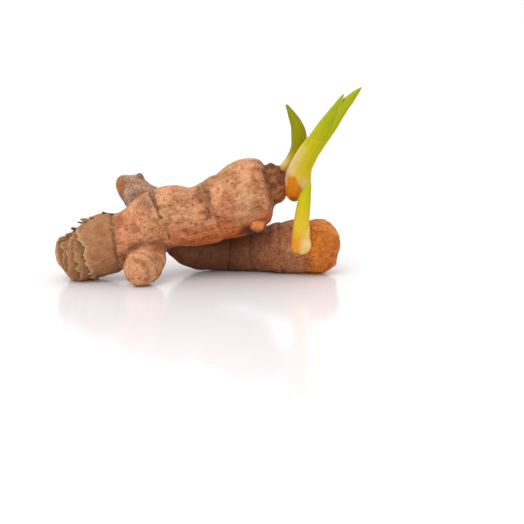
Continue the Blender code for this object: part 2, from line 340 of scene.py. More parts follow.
@dataclass(frozen=True)
class SkinPlace:
    """Where each point of the skin lies on its finger."""

    finger: np.ndarray
    along: np.ndarray
    across: np.ndarray
    from_fork: np.ndarray

    def on(self, finger: Finger) -> np.ndarray:
        """True where the nearest finger is this one."""
        return self.finger == finger.name

    def grain(self) -> np.ndarray:
        """Coordinates in millimetres whose third axis runs along the finger."""
        return np.column_stack([self.across, self.along])


def place_on_fingers(points: np.ndarray) -> SkinPlace:
    """Finds each point's nearest finger, its place along and across it, and how far from a fork it is.

    Args:
        points: Rows of x, y, z in millimetres.

    Returns:
        The places.
    """
    gaps, alongs, acrosses = [], [], []
    rows = np.arange(len(points))
    for finger in FINGERS:
        line, along, tangents = trace(finger.stations)
        away = points[:, None, :] - line[None, :, :3]
        gap = np.linalg.norm(away, axis=2) - line[None, :, 3]
        nearest = gap.argmin(axis=1)
        offset = away[rows, nearest]
        tangent = tangents[nearest]
        first = unit(np.cross(tangent, np.array(finger.side)))
        second = np.cross(first, tangent)
        gaps.append(gap[rows, nearest])
        alongs.append(along[nearest] + (offset * tangent).sum(axis=1))
        acrosses.append(np.column_stack([(offset * first).sum(axis=1), (offset * second).sum(axis=1)]))
    gaps = np.array(gaps)
    best = gaps.argmin(axis=0)
    ordered = np.sort(gaps, axis=0)
    return SkinPlace(
        finger=np.array([finger.name for finger in FINGERS])[best],
        along=np.array(alongs)[best, rows],
        across=np.array(acrosses)[best, rows],
        from_fork=ordered[1] - ordered[0],
    )


# The masks of the skin's colours, by the attribute that holds four of them; some are painted shade, bounce
# light and glints.
MASKS = {
    "rings": ("dark", "rim", "crease_shade", "streaky"),
    "regions": ("gold", "rose", "grey", "amber"),
    "stains_and_shade": ("crown", "painted_underside", "painted_shadow", "smudge_and_shade"),
    "spots": ("flesh", "bud", "glinting", "mauve"),
}


@dataclass(frozen=True)
class Patch:
    """A soft-edged patch on the skin.

    Attributes:
        mask: The mask that it adds to.
        centre: Its middle, x, y, z in millimetres.
        reach: Its half lengths along X, Y and Z in millimetres.
        strength: Its strongest value, from 0 to 1.
    """

    mask: str
    centre: tuple
    reach: tuple
    strength: float = 1.0

    def share(self, points: np.ndarray, ragged: np.ndarray) -> np.ndarray:
        """How strongly it covers each point, with its edge moved by ragged."""
        distance = np.linalg.norm((points - self.centre) / self.reach, axis=1)
        return self.strength * (1 - smooth_step(distance + ragged, 0.45, 1.1))


@dataclass(frozen=True)
class Finish:
    """A finish of shader nodes: a pattern on a principled surface with a bump.

    Attributes:
        name: The material's name.
        surface: The surface's settings, by name.
        bump: How strongly the bump shows.
        bump_mm: How high it is, in millimetres.
    """

    name: str
    surface: tuple
    bump: float
    bump_mm: float

    def pattern(self, tree: bpy.types.NodeTree) -> tuple[dict, bpy.types.NodeSocket]:
        """Draws the pattern, which each finish has its own of.

        Args:
            tree: The material's node tree.

        Returns:
            The outputs that feed the surface, by input name, and the height of the bump.
        """
        raise NotImplementedError

    def material(self) -> bpy.types.Material:
        """Builds the material.

        Returns:
            The new material.
        """
        material = bpy.data.materials.new(self.name)
        material.use_nodes = True
        tree = material.node_tree
        tree.nodes.clear()
        links, height = self.pattern(tree)
        relief = {"Strength": self.bump, "Distance": self.bump_mm * MM}
        links["Normal"] = add_node(tree, "Bump", relief, {"Height": height}).outputs[0]
        shader = add_node(tree, "BsdfPrincipled", dict(self.surface), links)
        add_node(tree, "OutputMaterial", {}, {"Surface": shader.outputs[0]})
        return material


@dataclass(frozen=True)
class CorkySkin(Finish):
    """Turmeric's thin cork skin, dried in air: matt, pinkish tan, finely streaked along the root.

    It gives the eye a dusty mottled hide with dark scaly rings, paler rims and orange where the flesh shows.
    """

    name: str = "turmeric_cork_skin"
    surface: tuple = (
        ("Specular IOR Level", 0.12),
        ("Subsurface Weight", 0.06),
        ("Subsurface Radius", (1.0, 0.4, 0.15)),
        ("Subsurface Scale", 0.001),
    )
    bump: float = 0.5
    bump_mm: float = 0.2
    base: str = "#dfa67a"
    streak_mm: tuple = (1.0, 1.0, 9.0)
    cell_mm: float = 1.3
    # Each pattern: the size of its lumps in millimetres, its detail, and the noise values where it sets in.
    patterns: tuple = (
        ("mottle", 5.5, 5.0, 0.44, 0.60),
        ("blotch", 2.3, 4.0, 0.50, 0.66),
        ("speck", 0.95, 2.0, 0.57, 0.70),
        ("fleck", 0.9, 4.0, 0.55, 0.75),
        ("fine", 0.60, 1.0, 0.35, 0.65),
    )
    # The layers of colour from the lowest up: the mask or pattern, the colour, the blend and the strength.
    layers: tuple = (
        ("gold", "#bd9254", "MIX", 0.70),
        ("rose", "#d78a62", "MIX", 0.75),
        ("grey", "#b19a86", "MIX", 0.85),
        ("mauve", "#80594c", "MIX", 0.85),
        ("amber", "#dc8420", "MIX", 0.92),
        ("crown", "#8c4a1c", "MIX", 0.90),
        # painted orange bounce light and shade on the body's underside
        ("painted_underside", "#cf6a24", "MIX", 0.85),
        ("bud", "#b98544", "MIX", 0.75),
        ("mottle", "#bd8a5c", "MULTIPLY", 0.50),
        ("blotch", "#b0704c", "MULTIPLY", 0.56),
        ("streak", "#8a4f30", "MULTIPLY", 0.62),
        ("speck", "#86502f", "MULTIPLY", 0.58),
        ("fine", "#cfa78c", "MULTIPLY", 0.40),
        ("fleck", "#edcba0", "MIX", 0.36),
        # painted glints on the amber tip, the crown and the broken bud
        ("glint", "#eaa858", "MIX", 0.40),
        ("rim", "#dcb184", "MIX", 0.42),
        # painted shadow under the body and under the broken bud
        ("painted_shadow", "#43200f", "MIX", 0.85),
        # dark smudges, and painted shade in the neck groove
        ("smudge_and_shade", "#523224", "MIX", 0.85),
        # painted shade in wrinkles, forks and pits
        ("crease_shade", "#5f3220", "MIX", 0.60),
        ("flesh", "#e88c48", "MIX", 0.85),
        ("dark", "#49291d", "MIX", 0.82),
    )

    def pattern(self, tree: bpy.types.NodeTree) -> tuple[dict, bpy.types.NodeSocket]:
        """Draws the skin from the masks and the finger coordinates on the mesh.

        Args:
            tree: The material's node tree.

        Returns:
            The outputs that feed the surface, by input name, and the height of the bump.
        """
        place = add_node(tree, "TexCoord").outputs["Object"]
        grain = add_node(tree, "Attribute", {"attribute_name": "grain"}).outputs["Vector"]
        shade = {}
        for group, channels in MASKS.items():
            stored = add_node(tree, "Attribute", {"attribute_name": group})
            parts = add_node(tree, "SeparateColor", {}, {0: stored.outputs["Color"]})
            shade.update(zip(channels, (*parts.outputs, stored.outputs["Alpha"])))
        for turn, (name, size, detail, low, high) in enumerate(self.patterns):
            settings = {"noise_dimensions": "4D", "W": 5.0 * turn, "Scale": 1 / (size * MM), "Detail": detail}
            lumps = add_node(tree, "TexNoise", {**settings, "Roughness": 0.6}, {"Vector": place})
            limits = {1: low, 2: high, "clamp": True}
            shade[name] = add_node(tree, "MapRange", limits, {0: lumps.outputs["Fac"]}).outputs[0]
        scale = tuple(1 / length for length in self.streak_mm)
        stretched = add_node(tree, "Mapping", {"Scale": scale}, {"Vector": grain}).outputs[0]
        settings = {"Scale": 1.0, "Detail": 4.0, "Roughness": 0.65, "Distortion": 0.5}
        streaks = add_node(tree, "TexNoise", settings, {"Vector": stretched}).outputs["Fac"]
        streak = add_node(tree, "MapRange", {1: 0.50, 2: 0.66, "clamp": True}, {0: streaks}).outputs[0]
        grainy = add_node(tree, "MapRange", {3: 0.6, 4: 1.0}, {0: shade["blotch"]}).outputs[0]
        for name, first, second in (
            ("streak", streak, "streaky"),
            ("glint", shade["fleck"], "glinting"),
            ("smudge_and_shade", grainy, "smudge_and_shade"),
            ("mauve", grainy, "mauve"),
        ):
            product = add_node(tree, "Math", {"operation": "MULTIPLY"}, {0: first, 1: shade[second]})
            shade[name] = product.outputs[0]
        below = {}
        for name, hex_colour, blend, strength in self.layers:
            limits = {"operation": "MULTIPLY", 1: strength, "use_clamp": True}
            share = add_node(tree, "Math", limits, {0: shade[name]}).outputs[0]
            colours = {"data_type": "RGBA", "blend_type": blend, 6: linear(self.base), 7: linear(hex_colour)}
            colour = add_node(tree, "Mix", colours, {0: share, **below}).outputs[2]
            below = {6: colour}
        cells = add_node(tree, "TexVoronoi", {"Scale": 1 / (self.cell_mm * MM)}, {"Vector": place})
        height = cells.outputs["Distance"]
        for weight, source in ((1.0, streaks), (0.5, shade["fine"]), (-0.5, shade["speck"])):
            sums = {"operation": "MULTIPLY_ADD", 1: weight}
            height = add_node(tree, "Math", sums, {0: source, 2: height}).outputs[0]
        roughness = add_node(tree, "MapRange", {3: 0.5, 4: 0.75}, {0: shade["fine"]}).outputs[0]
        return {"Base Color": colour, "Roughness": roughness}, height


@dataclass(frozen=True)
class SkinMap:
    """What lies where on the skin, one row or value for each vertex, most of them from 0 to about 1."""

    points: np.ndarray
    normals: np.ndarray
    place: SkinPlace
    ragged: np.ndarray
    groove: np.ndarray
    lip: np.ndarray
    rim: np.ndarray
    inside: np.ndarray
    outside: np.ndarray
    fork: np.ndarray
    wrinkle: np.ndarray
    streaky: np.ndarray
    pits: np.ndarray
    rough_crown: np.ndarray
    neck: np.ndarray
    tip: np.ndarray


@dataclass
class Rhizome:
    """The root itself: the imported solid's form with a fine skin."""

    voxel_mm: float = 0.42
    smoothing: int = 14
    # Layered noises are given as the height and the size in millimetres: how the rings wander, how they
    # thin out and break, how bud scars and the edges of patches wobble, and the skin's lumps.
    ring_wander: tuple = ((1.0, 8.0), (0.4, 2.2), (0.2, 0.9))
    ring_mean: float = 0.75
    ring_breaks: tuple = ((0.9, 9.0), (0.5, 3.0))
    scar_wobble: tuple = ((0.2, 1.6), (0.15, 4.0))
    patch_wobble: tuple = ((0.35, 3.0), (0.2, 1.2))
    lumps: tuple = ((0.28, 5.5), (0.15, 2.7), (0.08, 1.4), (0.035, 0.8))
    groove_past_mm: float = 1.3
    groove_width_mm: float = 0.5
    groove_depth_mm: float = 0.2
    lip_past_mm: float = 0.2
    lip_width_mm: float = 0.7
    lip_height_mm: float = 0.1
    fork_width_mm: float = 1.6
    fork_depth_mm: float = 0.25
    fork_clear_mm: float = 4.0
    wrinkle_mm: tuple = (1.4, 1.4, 10.0)
    wrinkle_depth_mm: float = 0.16
    # The crown's rough skin begins past a groove, the neck, whose plane leans back.
    crown_from_mm: float = 19.6
    neck_mm: float = 22.4
    neck_width_mm: float = 1.9
    neck_depth_mm: float = 0.65
    neck_lean: float = 0.25
    tip_mm: tuple = (33.5, 39.5)
    # The old end is pressed lower by this share.
    old_end_mm: tuple = (43.0, 54.0)
    old_end_press: float = 0.1
    socket_fills: tuple = (
        (27.5, 2.6, 35.4, 3.4), (29.2, 2.3, 34.9, 3.6), (27.2, 5.0, 38.6, 2.4), (35.5, 2.4, 10.6, 3.8),
        (35.4, -0.4, 10.9, 4.3),
    )
    bud_scars: tuple = (
        (-13.2, -12.8, 29.0, 2.5), (-20.9, -14.5, 20.6, 2.5), (-14.7, -14.0, 23.7, 1.3),
        (-6.8, -12.3, 25.2, 1.3), (-8.9, 9.6, 27.8, 2.4), (4.7, 11.6, 31.0, 2.6), (14.1, 4.6, 11.2, 2.0),
        (22.1, 16.2, 14.8, 2.2),
    )
    scar_stretch: tuple = (1.3, 1.0, 1.0)
    # The heights of a bud scar's rim, its middle and the ring outside it.
    scar_heights_mm: tuple = (0.07, 0.04, -0.08)
    # The scars of fallen rootlets: their spacing, the noise value from which a place has one, and, of the
    # rim and of the pit in it, the radius, the width and the height in millimetres.
    root_scar_spacing_mm: float = 7.5
    root_scar_from: float = 0.05
    root_scar_parts: tuple = ((0.8, 0.35, 0.08), (0.0, 0.5, -0.13))
    # Small nubs: x, y, z, radius and height in millimetres.
    nubs: tuple = (
        (23.4, -0.5, 44.0, 1.5, 0.9), (26.6, -0.6, 42.8, 1.2, 0.8), (24.6, 3.0, 42.5, 1.3, 0.7),
        (24.4, -8.2, 36.0, 1.2, 0.5), (25.4, -7.0, 31.5, 1.4, 0.5), (-26.9, 12.6, 36.4, 1.5, 0.9),
        (-28.8, 10.4, 35.6, 1.1, 0.5),
    )
    patches: tuple = (
        Patch("gold", (4.0, -2.0, 39.0), (12.0, 12.0, 5.5), 0.8),
        Patch("gold", (18.6, -10.5, 30.0), (3.6, 8.0, 9.0), 0.4),
        Patch("rim", (14.5, -11.5, 28.0), (8.0, 8.0, 9.5), 0.55),
        Patch("gold", (-8.0, 8.0, 33.0), (9.0, 9.0, 6.0), 0.6),
        Patch("gold", (-17.0, -13.0, 25.0), (5.0, 5.0, 8.0), 0.4),
        Patch("rose", (5.5, -11.0, 28.0), (7.0, 9.0, 10.0), 0.7),
        Patch("rose", (-30.5, -12.0, 21.0), (6.5, 9.0, 8.0), 0.65),
        Patch("rose", (-12.0, -13.0, 19.5), (6.0, 8.0, 5.0), 0.6),
        Patch("rose", (12.0, 12.0, 30.0), (8.0, 6.0, 8.0), 0.8),
        Patch("mauve", (-22.2, -7.5, 30.6), (4.2, 8.0, 7.0), 1.0),
        Patch("mauve", (-8.0, -8.0, 33.0), (7.0, 8.0, 6.0), 0.4),
        Patch("mauve", (-27.5, 3.0, 30.0), (5.0, 6.0, 5.0), 0.5),
        Patch("smudge_and_shade", (-1.8, -6.5, 34.0), (4.0, 9.5, 5.5), 0.9),
        Patch("smudge_and_shade", (0.4, -10.8, 29.0), (1.8, 6.0, 6.0), 1.0),
        Patch("smudge_and_shade", (1.0, 9.0, 30.0), (2.4, 6.0, 7.0), 0.7),
        # Painted shade beside the neck groove.
        Patch("smudge_and_shade", (23.4, -4.0, 37.0), (1.5, 9.0, 8.0), 0.6),
        Patch("crown", (-34.8, 12.4, 31.6), (3.4, 5.4, 5.6), 0.8),
        Patch("crown", (-33.0, -6.0, 19.0), (2.6, 13.0, 12.0), 0.4),
        Patch("smudge_and_shade", (-26.7, 12.6, 36.0), (1.6, 2.0, 2.2), 0.9),
        # Painted shadow under the broken bud.
        Patch("painted_shadow", (17.0, -6.0, 18.4), (6.0, 8.0, 3.6), 1.0),
        Patch("bud", (-13.2, -12.8, 29.0), (3.2, 3.2, 3.2), 0.5),
        Patch("bud", (-20.9, -14.5, 20.6), (3.4, 3.4, 3.4), 0.6),
        Patch("flesh", (-35.6, 12.2, 32.6), (3.0, 5.4, 4.8), 0.32),
        Patch("flesh", (19.3, -6.0, 20.8), (2.2, 3.2, 1.6), 0.9),
    )

    def refined(self) -> bpy.types.Object:
        """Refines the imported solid's form, closed over the shoots' sockets.

        Returns:
            The skin in small even faces.
        """
        bm = bmesh.new()
        bm.from_mesh(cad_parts["rhizome"].data)
        bmesh.ops.remove_doubles(bm, verts=bm.verts, dist=0.001 * MM)
        for x, y, z, radius in self.socket_fills:
            ball = bmesh.ops.create_icosphere(bm, subdivisions=3, radius=radius * MM)
            bmesh.ops.translate(bm, verts=ball["verts"], vec=Vector((x, y, z)) * MM)
        skin = make_piece(bm, "rhizome_skin")
        remesh = skin.modifiers.new("even", "REMESH")
        remesh.mode = "VOXEL"
        remesh.voxel_size = self.voxel_mm * MM
        ease = skin.modifiers.new("ease", "SMOOTH")
        ease.factor = 0.5
        ease.iterations = self.smoothing
        apply_modifiers(skin)
        return skin

    def ring_masks(self, points: np.ndarray, place: SkinPlace) -> tuple[np.ndarray, np.ndarray]:
        """Finds where the node rings run.

        Args:
            points: The skin's vertices in millimetres.
            place: Their places on the fingers.

        Returns:
            The grooves and the lips beside them, each from 0 to about 1.
        """
        along = place.along + layered_noise(points, self.ring_wander)
        broken = np.maximum(self.ring_mean + layered_noise(points, self.ring_breaks), 0.0)
        broken *= np.clip(place.from_fork / self.fork_clear_mm, 0.0, 1.0)
        groove, lip = np.zeros(len(points)), np.zeros(len(points))
        for finger in FINGERS:
            mine = place.on(finger)
            for ring_place, strength in finger.rings:
                beyond = along[mine] - ring_place
                share = strength * broken[mine]
                cut = share * bell(beyond, self.groove_past_mm, self.groove_width_mm)
                groove[mine] = np.maximum(groove[mine], cut)
                lip[mine] = np.maximum(lip[mine], share * bell(beyond, self.lip_past_mm, self.lip_width_mm))
        return np.minimum(groove, 1.2), np.minimum(lip, 1.2)

    def scar_masks(self, points: np.ndarray) -> tuple[np.ndarray, np.ndarray, np.ndarray]:
        """Finds where the bud scars are.

        Args:
            points: The skin's vertices in millimetres.

        Returns:
            Their pale rims, their middles and the dark rings outside them, each from 0 to 1.
        """
        rim, inside, outside = (np.zeros(len(points)) for _ in range(3))
        wobble = layered_noise(points, self.scar_wobble)
        for x, y, z, radius in self.bud_scars:
            distance = np.linalg.norm((points - (x, y, z)) / self.scar_stretch, axis=1) / radius + wobble
            rim = np.maximum(rim, np.maximum(bell(distance, 0.98, 0.14), 0.5 * bell(distance, 0.5, 0.12)))
            inside = np.maximum(inside, 1 - smooth_step(distance, 0.2, 0.45))
            outside = np.maximum(outside, bell(distance, 1.25, 0.14))
        return rim, inside, outside

    def root_scars(self, points: np.ndarray) -> np.ndarray:
        """Raises the small round scars that fallen rootlets left.

        Args:
            points: The skin's vertices in millimetres.

        Returns:
            Their height in millimetres.
        """
        distance = np.full(len(points), math.inf)
        for i, point in enumerate(points):
            distances, centres = noise.voronoi(Vector(point) / self.root_scar_spacing_mm + NOISE_OFFSET)
            if noise.noise(centres[0] * 3.1) > self.root_scar_from:
                distance[i] = distances[0] * self.root_scar_spacing_mm
        return sum(rise * bell(distance, radius, width) for radius, width, rise in self.root_scar_parts)

    def map_skin(self, skin: bpy.types.Object) -> SkinMap:
        """Finds what lies where on the skin.

        Args:
            skin: The refined skin.

        Returns:
            Its features, for its relief and for its colours.
        """
        points = read_rows(skin.data.vertices, "co") / MM
        normals = read_rows(skin.data.vertex_normals, "vector")
        place = place_on_fingers(points)
        groove, lip = self.ring_masks(points, place)
        rim, inside, outside = self.scar_masks(points)
        body, crown, lower = (place.on(finger) for finger in (BODY_FINGER, CROWN, LOWER_FINGER))
        ragged = layered_noise(points, self.patch_wobble)
        lines = soft_noise(place.grain() / np.array(self.wrinkle_mm), 1.0)
        low = smooth_step(-normals[:, 2], -0.35, 0.5)
        patchy = smooth_step(soft_noise(points, 7.0, PATCHY_OFFSET), -0.3, 0.35)
        leaning = points[:, 0] + self.neck_lean * (points[:, 2] - 40.0) + 1.5 * ragged
        thick_end = np.maximum(crown, body)
        return SkinMap(
            points=points,
            normals=normals,
            place=place,
            ragged=ragged,
            groove=groove,
            lip=lip,
            rim=rim,
            inside=inside,
            outside=outside,
            fork=bell(place.from_fork, 0.0, self.fork_width_mm),
            wrinkle=np.clip(1 - 3.0 * np.abs(lines), 0.0, 1.0),
            streaky=np.clip(0.25 + 0.35 * patchy + 0.55 * low * body, 0.0, 1.0),
            pits=self.root_scars(points),
            rough_crown=thick_end * smooth_step(leaning, self.crown_from_mm, self.neck_mm),
            neck=thick_end * bell(leaning, self.neck_mm, self.neck_width_mm),
            tip=lower * smooth_step(points[:, 0] + 4.0 * ragged, *self.tip_mm),
        )

    def relief(self, at: SkinMap) -> np.ndarray:
        """Raises the rings, scars, wrinkles, nubs and lumps.

        Args:
            at: What lies where on the skin.

        Returns:
            The vertices' new places in millimetres.
        """
        height = self.lip_height_mm * at.lip - self.groove_depth_mm * at.groove
        height -= self.fork_depth_mm * at.fork + self.neck_depth_mm * at.neck
        height -= self.wrinkle_depth_mm * at.wrinkle * at.streaky
        for rise, mask in zip(self.scar_heights_mm, (at.rim, at.inside, at.outside)):
            height += rise * mask
        height += at.pits
        for x, y, z, radius, rise in self.nubs:
            middle = at.points[np.argmin(np.linalg.norm(at.points - (x, y, z), axis=1))]
            height += rise * bell(np.linalg.norm(at.points - middle, axis=1), 0.0, radius)
        rougher = 1 + 0.8 * at.rough_crown + 1.4 * at.tip
        height += rougher * layered_noise(at.points, self.lumps, LUMP_OFFSET)
        # The flat spots that it rests on stay as they are.
        height *= smooth_step(at.points[:, 2], 0.15, 1.2)
        shaped = at.points + at.normals * height[:, None]
        old_end = smooth_step(-at.points[:, 0], *self.old_end_mm)
        shaped[:, 2] *= 1 - self.old_end_press * old_end * smooth_step(at.points[:, 2], 2.0, 9.0)
        return shaped

    def masks(self, at: SkinMap) -> dict[str, np.ndarray]:
        """Lays out the skin's colours.

        Args:
            at: What lies where on the skin.

        Returns:
            A value from 0 to 1 for each vertex, by the mask's name.
        """
        x, z = at.points[:, 0], at.points[:, 2]
        masks = {name: np.zeros(len(x)) for channels in MASKS.values() for name in channels}
        for patch in self.patches:
            masks[patch.mask] = np.maximum(masks[patch.mask], patch.share(at.points, at.ragged))
        lower, body = at.place.on(LOWER_FINGER), at.place.on(BODY_FINGER)
        pitted = np.clip(-at.pits / 0.1, 0.0, 1.0)
        uneven = np.clip(0.85 + 0.9 * soft_noise(at.points, 2.2) - 0.3 * smooth_step(z, 38.0, 44.0), 0.2, 1.0)
        brown = 0.65 * lower * (1 - at.tip) * smooth_step(x, 4.0, 24.0)
        under = smooth_step(-at.normals[:, 2] + 0.3 * at.ragged, 0.0, 0.75)
        for name, mask in (
            ("dark", np.maximum(0.9 * at.groove, 0.25 * at.outside)),
            ("rim", 0.6 * np.maximum(at.lip, at.rim)),
            # Painted shade in the wrinkles, where fingers fork, and in the root scars' pits.
            ("crease_shade", np.clip(0.5 * at.wrinkle * at.streaky + 0.9 * at.fork + 0.5 * pitted, 0.0, 1.0)),
            ("streaky", at.streaky),
            ("grey", at.place.on(BACK_FINGER) * smooth_step(at.place.along, 5.0, 9.0)),
            ("amber", at.tip),
            # Where painted glints show: the amber tip, and fewer on the rough crown.
            ("glinting", np.maximum(at.tip, 0.3 * at.rough_crown)),
            ("crown", np.maximum(at.rough_crown * uneven, brown)),
            # Painted shade in the neck groove, strongest at its top.
            ("smudge_and_shade", at.neck * (0.6 + 0.4 * smooth_step(z, 34.0, 40.0))),
            # The lower finger's end under the body is darkened with a painted shadow.
            ("painted_shadow", lower * (1 - smooth_step(x + 6.0 * at.ragged, 8.0, 30.0))),
            # The body's downward faces get painted orange bounce light and shade.
            ("painted_underside", body * under * smooth_step(x, -30.0, 2.0)),
            ("bud", 0.5 * at.inside),
        ):
            masks[name] = np.maximum(masks[name], mask)
        return masks

    def build(self) -> bpy.types.Object:
        """Makes the skin and dresses it.

        Returns:
            The finished skin.
        """
        skin = self.refined()
        at = self.map_skin(skin)
        skin.data.vertices.foreach_set("co", (self.relief(at) * MM).ravel())
        skin.data.update()
        masks = self.masks(at)
        for group, channels in MASKS.items():
            keep(skin.data, group, tuple(masks[name] for name in channels))
        keep(skin.data, "grain", tuple(at.place.grain().T))
        dress(skin, CorkySkin().material(), stands_for="rhizome")
        return skin


@dataclass(frozen=True)
class YoungLeaf(Finish):
    """A young turmeric leaf, still rolled: satin, slightly see-through, veined lengthwise.

    It gives the eye cream at the foot, then gold, then fresh yellow green that deepens to the tip.
    """

    name: str = "young_turmeric_leaf"
    surface: tuple = (
        ("Roughness", 0.5),
        ("Specular IOR Level", 0.1),
        ("Subsurface Weight", 0.2),
        ("Subsurface Radius", (1.0, 0.9, 0.2)),
        ("Subsurface Scale", 0.0018),
    )
    bump: float = 0.35
    bump_mm: float = 0.1
    # Its run of colour from foot to tip, where on it each colour lies, and how far it drifts.
    rise: tuple = ("#f0953a", "#e9ae3c", "#d8b628", "#c0b414", "#a7ac10", "#949d0e")
    stops: tuple = (0.0, 0.16, 0.34, 0.52, 0.74, 1.0)
    drift: float = 0.12
    drift_mm: float = 4.0
    cream: str = "#e6c28c"
    flesh: str = "#dd8219"
    margin: str = "#d6d780"
    scorch: str = "#6d3f1f"
    vein: str = "#cdb888"
    vein_mm: float = 0.5
    vein_length_mm: float = 14.0

    def pattern(self, tree: bpy.types.NodeTree) -> tuple[dict, bpy.types.NodeSocket]:
        """Draws the leaf from the leaf coordinates on the mesh.

        Args:
            tree: The material's node tree.

        Returns:
            The outputs that feed the surface, by input name, and the height of the bump.
        """
        place = add_node(tree, "TexCoord").outputs["Object"]
        around = add_node(tree, "Attribute", {"attribute_name": "around"}).outputs["Vector"]
        stored = add_node(tree, "Attribute", {"attribute_name": "leaf"})
        parts = add_node(tree, "SeparateColor", {}, {0: stored.outputs["Color"]}).outputs
        margin = add_node(tree, "SeparateXYZ", {}, {0: around}).outputs[1]
        spread = {"Scale": 1 / (self.drift_mm * MM), "Detail": 3.0}
        links = {0: add_node(tree, "TexNoise", spread, {"Vector": place}).outputs["Fac"], 2: parts[0]}
        rise = add_node(tree, "Math", {"operation": "MULTIPLY_ADD", 1: self.drift}, links).outputs[0]
        rise = add_node(tree, "Math", {"operation": "SUBTRACT", 1: self.drift / 2}, {0: rise}).outputs[0]
        ramp = add_node(tree, "ValToRGB", {}, {0: rise})
        for stop in self.stops[1:-1]:
            ramp.color_ramp.elements.new(stop)
        for element, stop, hex_colour in zip(ramp.color_ramp.elements, self.stops, self.rise):
            element.position = stop
            element.color = linear(hex_colour)
        scale = (1 / self.vein_mm, 0.0, 1 / self.vein_length_mm)
        stretched = add_node(tree, "Mapping", {"Scale": scale}, {"Vector": around}).outputs[0]
        fine = {"Scale": 1.0, "Detail": 2.0}
        veins = add_node(tree, "TexNoise", fine, {"Vector": stretched}).outputs["Fac"]
        limits = {1: 0.46, 2: 0.7, 4: 0.35, "clamp": True}
        vein = add_node(tree, "MapRange", limits, {0: veins}).outputs[0]
        colour = ramp.outputs["Color"]
        for share, hex_colour, blend in (
            (parts[1], self.cream, "MIX"),
            (parts[2], self.flesh, "MIX"),
            (margin, self.margin, "MIX"),
            (stored.outputs["Alpha"], self.scorch, "MIX"),
            (vein, self.vein, "MULTIPLY"),
        ):
            colours = {"data_type": "RGBA", "blend_type": blend, 7: linear(hex_colour)}
            colour = add_node(tree, "Mix", colours, {0: share, 6: colour}).outputs[2]
        return {"Base Color": colour}, veins


@dataclass(frozen=True)
class RolledLeaf:
    """One leaf rolled round a line, like a scroll with two open margins.

    Attributes:
        name: The piece's name.
        stations: The line's x, y, z and the half width of the roll, in millimetres.
        wrap: How far the leaf goes round, in degrees, as the pairs (share of its length, degrees).
        seam: The angle of the roll's open side at foot and tip, in degrees: 0 is right, 90 is behind.
        rise: Where the leaf begins and ends on the shoot's run of colour, from 0 to 1.
        margin: How pale its margins are, from 0 to 1.
        slant: How much longer the leaf is on its right than in its middle, in millimetres.
        marks: Coloured spots as name, x, y, z and radius in millimetres, and strength.
        grow: How far each degree of wrap lets the roll widen, in millimetres, so that its margins overlap.
        narrowest: The least radius of the roll in millimetres.
        thick: The leaf's thickness in millimetres.
        depth: The roll's depth in Y for its width.
        columns: How many faces go round it.
        row_mm: The length of each face along it.
    """

    name: str
    stations: tuple
    wrap: tuple
    seam: tuple
    rise: tuple
    margin: float = 0.4
    slant: float = 0.0
    marks: tuple = ()
    grow: float = 0.0009
    narrowest: float = 0.12
    thick: float = 0.28
    depth: float = 0.8
    columns: int = 64
    row_mm: float = 0.4

    def build(self, material: bpy.types.Material, stands_for: str) -> None:
        """Rolls the leaf from a flat grid, colours and dresses it.

        Args:
            material: Its finish.
            stands_for: The CAD node that it replaces.
        """
        line, along, tangents = trace(self.stations, 0.5)
        length = along[-1]
        bm = bmesh.new()
        rows = max(24, int(length / self.row_mm))
        bmesh.ops.create_grid(bm, x_segments=self.columns, y_segments=rows, size=0.5)
        grid = np.array([vertex.co for vertex in bm.verts])
        across = 2 * grid[:, 0]
        share = grid[:, 1] + 0.5
        turned = across * np.interp(share, *zip(*self.wrap)) / 2
        angle = np.radians(np.interp(share, (0.0, 1.0), self.seam) + 180 + turned)
        reach = share * (length - abs(self.slant)) + share**3 * self.slant * np.cos(angle)
        reach = np.clip(reach, 0.0, length)
        middle = read_along(line, along, reach)
        tangent = unit(read_along(tangents, along, reach))
        side = unit(np.cross(AWAY, tangent))
        roll = np.maximum(middle[:, 3] + self.grow * turned - self.thick / 2, self.narrowest)
        uneven = 0.12 * soft_noise(np.column_stack([across * 2, share, reach / 4]), 1.0)
        points = middle[:, :3] + side * (roll * np.cos(angle) + uneven)[:, None]
        points += np.cross(tangent, side) * (roll * np.sin(angle) * self.depth)[:, None]
        for vertex, point in zip(bm.verts, points):
            vertex.co = Vector(point) * MM
        bmesh.ops.recalc_face_normals(bm, faces=bm.faces)
        leaf = make_piece(bm, self.name)
        rise_from, rise_to = self.rise
        rise = rise_from + (rise_to - rise_from) * reach / length
        pale = np.maximum(smooth_step(np.abs(across), 0.86, 0.98), smooth_step(share, 0.985, 1.0))
        keep(leaf.data, "leaf", (rise, *self.spots(points)))
        keep(leaf.data, "around", (np.radians(turned) * middle[:, 3], pale * self.margin, reach))
        thicken(leaf, self.thick)
        dress(leaf, material, stands_for)

    def spots(self, points: np.ndarray) -> tuple[np.ndarray, ...]:
        """Finds how strongly its coloured spots cover each point.

        Args:
            points: The leaf's vertices in millimetres.

        Returns:
            The cream, the flesh and the scorch, each from 0 to 1.
        """
        covers = {name: np.zeros(len(points)) for name in ("cream", "flesh", "scorch")}
        ragged = 0.18 * soft_noise(points, 1.2)
        for name, x, y, z, size, strength in self.marks:
            distance = np.linalg.norm(points - (x, y, z), axis=1) / size + ragged
            # Bare flesh has a crisp edge, and a weaker stain fades from its middle.
            edge = 0.7 if name == "flesh" and strength == 1.0 else 0.0
            covers[name] = np.maximum(covers[name], strength * (1 - smooth_step(distance, edge, 1.0)))
        return tuple(covers.values())


@dataclass(frozen=True)
class Shoot:
    """One shoot of rolled leaves.

    Attributes:
        node: The CAD node that its leaves replace.
        finish: The finish of its leaves.
        leaves: Its leaves, in the order in which they are built.
    """

    node: str
    finish: YoungLeaf
    leaves: tuple

    def build(self) -> None:
        """Rolls its leaves."""
        material = self.finish.material()
        for leaf in self.leaves:
            leaf.build(material, self.node)


